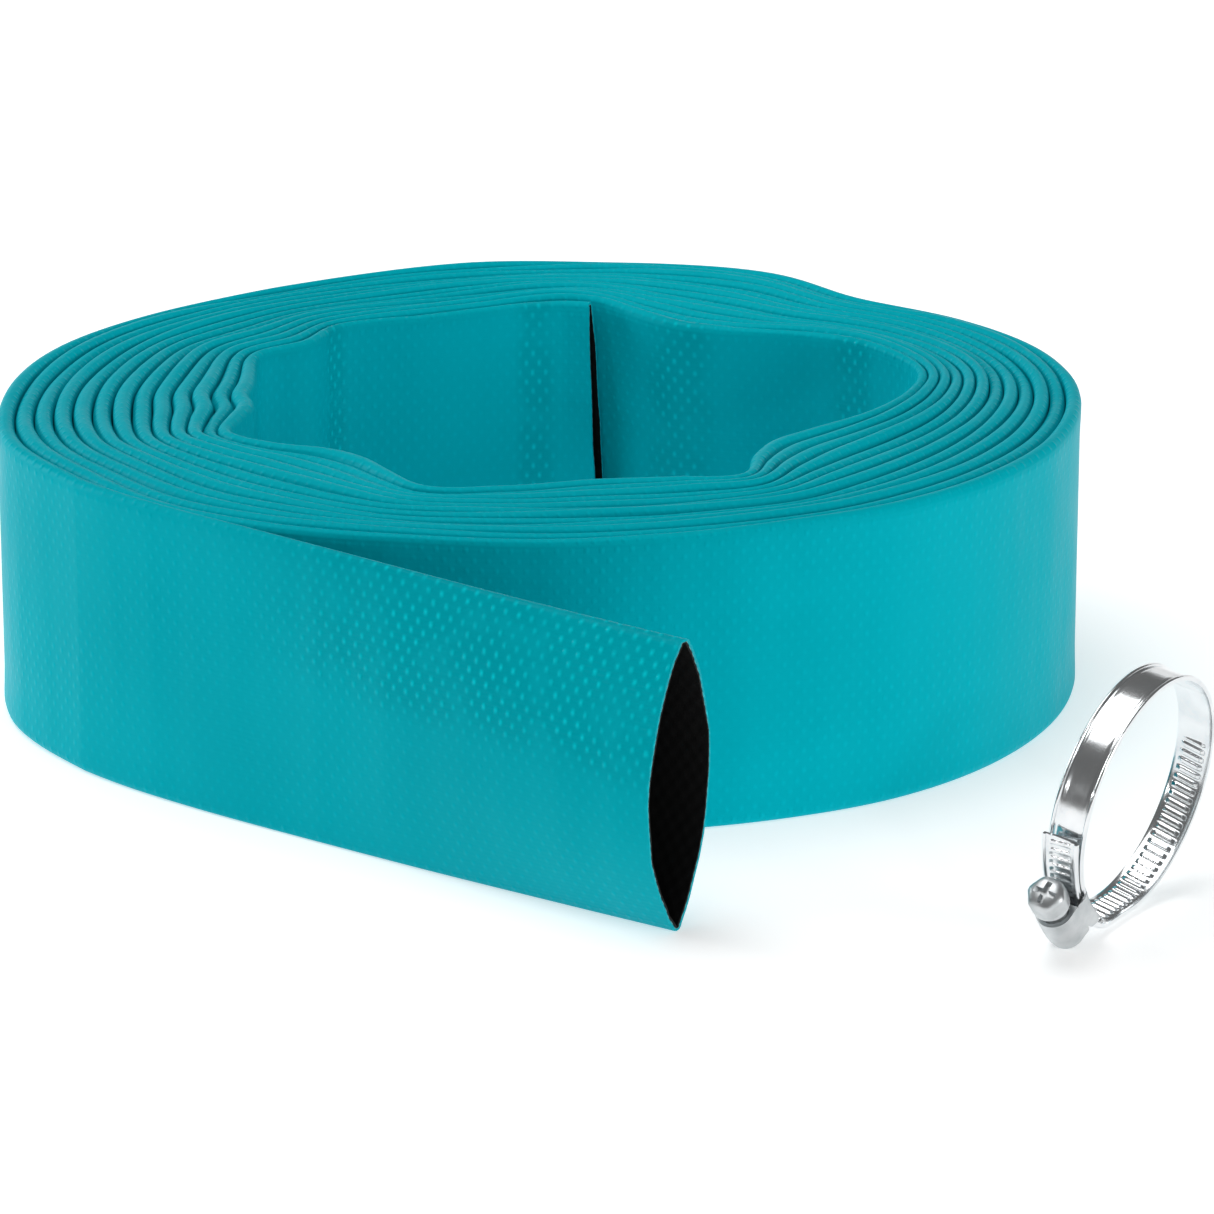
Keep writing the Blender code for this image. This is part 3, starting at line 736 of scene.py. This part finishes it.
def rings_to_mesh(name, rings, matrix, caps=True):
    placed = [[tuple(matrix @ Vector(p)) for p in ring] for ring in rings]
    runs = [[(p[1], p[2], p[0]) for p in ring] for ring in rings]
    return grid_mesh(name, placed, runs, "strip_run", caps=caps)


def scratch(mesh):
    piece = bpy.data.objects.new("scratch", mesh)
    bpy.context.scene.collection.objects.link(piece)
    return piece


def combined(name, base, others, operation):
    """Boolean the other meshes with the base, and return the result as a new mesh."""
    piece = scratch(base)
    tools = [scratch(mesh) for mesh in others]
    for tool in tools:
        modifier = piece.modifiers.new("tool", "BOOLEAN")
        modifier.operation = operation
        modifier.object = tool
        modifier.solver = "EXACT"
    bpy.context.view_layer.update()
    graph = bpy.context.evaluated_depsgraph_get()
    result = bpy.data.meshes.new_from_object(piece.evaluated_get(graph))
    result.name = name
    for item in [piece, *tools]:
        bpy.data.objects.remove(item, do_unlink=True)
    return result


def sign_power(value, power):
    return abs(value) ** power * (1 if value >= 0 else -1)


def barrel_ring(y, radius, flat_to, half, sides=48):
    """The housing across the screw: a round barrel running down into straight cheeks."""
    ring = []
    for i in range(sides):
        a = 2 * pi * i / sides
        x = SCREW_HEIGHT + radius * sin(a)
        z = radius * cos(a)
        if sin(a) < 0:
            drop = -sin(a)
            x = SCREW_HEIGHT + (flat_to - SCREW_HEIGHT) * drop**0.55
            z = half * sign_power(cos(a), 0.28)
            blend = min(drop * 2.2, 1.0)
            z = z * blend + radius * cos(a) * (1 - blend)
        ring.append((x, y, z))
    return ring


def build_housing(material):
    """The pressed housing: smooth barrel, rounded shoulders, open at both ends."""
    half_length = HOUSING_LENGTH / 2
    stations = []
    for t in np.linspace(-1.0, 1.0, 25):
        y = half_length * t
        ease = 1.0 - 0.10 * max(t, 0.0) ** 3 - 0.03 * max(-t, 0.0) ** 3
        flat_to = -1.75 + 0.55 * (1 - t * t)
        stations.append(barrel_ring(y, BARREL_RADIUS * ease, flat_to, CHEEK_HALF))
    body = rings_to_mesh("housing_body", stations, SEAT)
    bore = [[(SCREW_HEIGHT + BORE_RADIUS * sin(a), y, BORE_RADIUS * cos(a))
             for a in np.linspace(0, 2 * pi, 40, endpoint=False)]
            for y in (-half_length - 1.0, half_length + 1.0)]
    slot = []
    for y in np.linspace(-half_length - 1.0, half_length + 1.0, 9):
        low = -0.95 - y * y / (2 * RING_RADIUS)
        slot.append([(low, y, -SLOT_HALF), (2.6, y, -SLOT_HALF),
                     (2.6, y, SLOT_HALF), (low, y, SLOT_HALF)])
    mesh = combined("clamp_housing_skin", body,
                    [rings_to_mesh("bore", bore, SEAT), rings_to_mesh("slot", slot, SEAT)],
                    "DIFFERENCE")
    if mesh.attributes.get("strip_run") is None:
        add_strip_run(mesh, SEAT)
    piece = add_mesh("clamp_housing_skin", mesh, material, 40)
    edge = piece.modifiers.new("edge", "BEVEL")
    edge.width = 0.14 * MM
    edge.segments = 2
    edge.limit_method = "ANGLE"
    edge.angle_limit = radians(50)
    return piece


def screw_ring(y, radius_at):
    """A ring round the screw's axis, its radius given at each angle."""
    angles = [2 * pi * i / SCREW_SIDES for i in range(SCREW_SIDES)]
    return [(radius_at(a) * cos(a), y, radius_at(a) * sin(a)) for a in angles]


def worm_radius(y, a):
    wave = cos(2 * pi * y / GROOVE_PITCH + a)
    return WORM_RADIUS + THREAD_HEIGHT * min(max((wave + 0.25) / 0.5, 0.0), 1.0)


def head_radius(y, grow, a):
    """The hexagon, its corners turned down, drawing in towards the dome's top."""
    nearest = (a + pi / 6) % (pi / 3) - pi / 6
    limit = 3.80 if y > -11.8 else 3.70
    r = min(HEAD_HALF_FLATS / cos(nearest), limit) * grow
    return min(r, HEAD_HALF_FLATS * grow) if grow < 0.9 else r


def recess_cutter(width, reach, axis):
    """One arm of the cross recess, tapering inwards."""
    rings = []
    for y, taper in ((-11.7, 0.66), (-13.4, 1.06)):
        w = width * (taper if width < 2 else taper * 0.97)
        r = reach * (taper if reach < 2 else taper * 0.97)
        rings.append([(-w / 2, y, -r / 2), (w / 2, y, -r / 2), (w / 2, y, r / 2),
                      (-w / 2, y, r / 2)])
    return rings_to_mesh("recess", rings, axis)


def build_screw(material):
    """The worm screw: threaded shank, flange, domed hexagon head and cross recess."""
    axis = SEAT @ Matrix.Translation((SCREW_HEIGHT, 0.0, 0.0))
    rings = [
        screw_ring(y, lambda a: worm_radius(y, a))
        for y in np.arange(HOUSING_LENGTH / 2 - 0.8, -HOUSING_LENGTH / 2 - 0.3, -0.14)
    ]
    rings += [screw_ring(y, lambda a: radius) for y, radius in NECK]
    rings += [screw_ring(y, lambda a: head_radius(y, grow, a)) for y, grow in HEAD]
    body = rings_to_mesh("screw_body", rings, axis)
    cuts = [recess_cutter(RECESS_WIDTH, RECESS_REACH, axis),
            recess_cutter(RECESS_REACH, RECESS_WIDTH, axis)]
    mesh = combined("clamp_screw_skin", body, cuts, "DIFFERENCE")
    if mesh.attributes.get("strip_run") is None:
        add_strip_run(mesh, axis)
    return add_mesh("clamp_screw_skin", mesh, material, 38)


# ---------------------------------------------------------------- scene


def add_camera():
    data = bpy.data.cameras.new("camera")
    data.sensor_width = 36.0
    data.lens = CAMERA_LENS
    data.clip_end = 20.0
    camera = bpy.data.objects.new("camera", data)
    camera.location = CAMERA_PLACE
    camera.rotation_euler = (radians(90.0 - CAMERA_DOWN), 0.0, 0.0)
    bpy.context.scene.collection.objects.link(camera)
    bpy.context.scene.camera = camera


def add_softbox(name, place, size, power):
    """A rectangular light that faces the middle of the set."""
    data = bpy.data.lights.new(name, "AREA")
    data.shape = "RECTANGLE"
    data.size, data.size_y = size
    data.energy = power
    light = bpy.data.objects.new(name, data)
    light.location = place
    facing = Vector((0.0, 0.0, 0.03)) - Vector(place)
    light.rotation_euler = facing.to_track_quat("-Z", "Y").to_euler()
    bpy.context.scene.collection.objects.link(light)


def add_stage():
    """A pale floor that sweeps up behind, and soft studio light."""
    m = Nodes("studio_floor")
    m.finish(Base_Color=(0.84, 0.84, 0.84, 1.0), Roughness=0.8, Specular_IOR_Level=0.1,
             Emission_Color=(1.0, 1.0, 1.0, 1.0), Emission_Strength=0.5)
    sweep = [(2.2 + 1.2 * sin(a), 1.2 * (1 - cos(a))) for a in np.radians(range(10, 91, 10))]
    profile = [(-4.0, 0.0), (2.2, 0.0), *sweep, (3.4, 1.3)]
    rings = [[(-4000.0, y * 1000, z * 1000), (4000.0, y * 1000, z * 1000)] for y, z in profile]
    mesh = grid_mesh("floor", rings, np.zeros((len(rings), 2, 3)), "strip_run",
                     close_round=False)
    floor = add_mesh("floor", mesh, m.material)
    world = bpy.data.worlds.new("studio")
    world.use_nodes = True
    world.node_tree.nodes["Background"].inputs["Color"].default_value = (1, 1, 1, 1)
    world.node_tree.nodes["Background"].inputs["Strength"].default_value = 0.14
    bpy.context.scene.world = world
    bpy.context.scene.view_settings.view_transform = "Standard"
    for softbox in SOFTBOXES:
        add_softbox(*softbox)


def add_hose():
    """The roll and its two ends, in place of the CAD's own hose parts."""
    # the third colour is that of the painted highlight dots
    cover = woven_pvc("turquoise_cover", colour(0, 184, 199), colour(0, 176, 191),
                      colour(8, 212, 224), gloss_spots())
    materials = {"cover": cover, "yarn": yarn(), "lining": lining_rubber()}
    slots = ("turquoise_pvc", "polyester_yarn", "black_pvc")

    roll, thick, top, run = build_roll(cover)
    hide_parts("hose_roll")
    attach(roll, "roll")

    free, start, ahead, length = build_free_end(materials, thick[0], top[0])
    nodes = ("free_end_cover", "free_end_yarn_layer", "free_end_lining")
    for piece, node, slot in zip(free, nodes, slots):
        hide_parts(node)
        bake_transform(piece)

    inner, inner_length = build_inner_end(materials, thick[-1], top[-1], run)
    nodes = ("inner_end_cover", "inner_end_yarn_layer", "inner_end_lining")
    for piece, node, slot in zip(inner, nodes, slots):
        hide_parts(node)
        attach(piece, "roll")


def add_clamp():
    """The band's fixed and moving halves, the housing and the screw."""
    band_steel = plated_steel("bright_zinc", (0.86, 0.88, 0.89, 1), (0.74, 0.77, 0.79, 1),
                              0.10, 0.24, 0.7)
    cast_zinc = plated_steel("dull_zinc", (0.62, 0.64, 0.65, 1), (0.50, 0.53, 0.54, 1),
                             0.30, 0.46, 0.3)
    fixed = build_band("clamp_band_skin", SEAM_ANGLE + SEAM_GAP,
                       HOUSING_ANGLE + BAND_PAST_HOUSING, lambda angle: RING_RADIUS,
                       False, 1.0, band_steel)
    moving = build_band("clamp_band_tail_skin", SEAM_ANGLE + 360 - SEAM_GAP,
                        HOUSING_ANGLE - TAIL_ANGLE, moving_radius, True, 0.36, band_steel)
    housing = build_housing(cast_zinc)
    screw = build_screw(cast_zinc)
    for piece, node, body, slot in (
        (fixed, "clamp_band", "clamp", "plated_band"),
        (moving, "clamp_band_tail", "band_tail", "plated_band"),
        (housing, "clamp_housing", "clamp", "plated_housing"),
        (screw, "clamp_screw", "screw", "plated_housing"),
    ):
        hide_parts(node)
        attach(piece, body)


add_camera()
add_stage()
add_hose()
add_clamp()
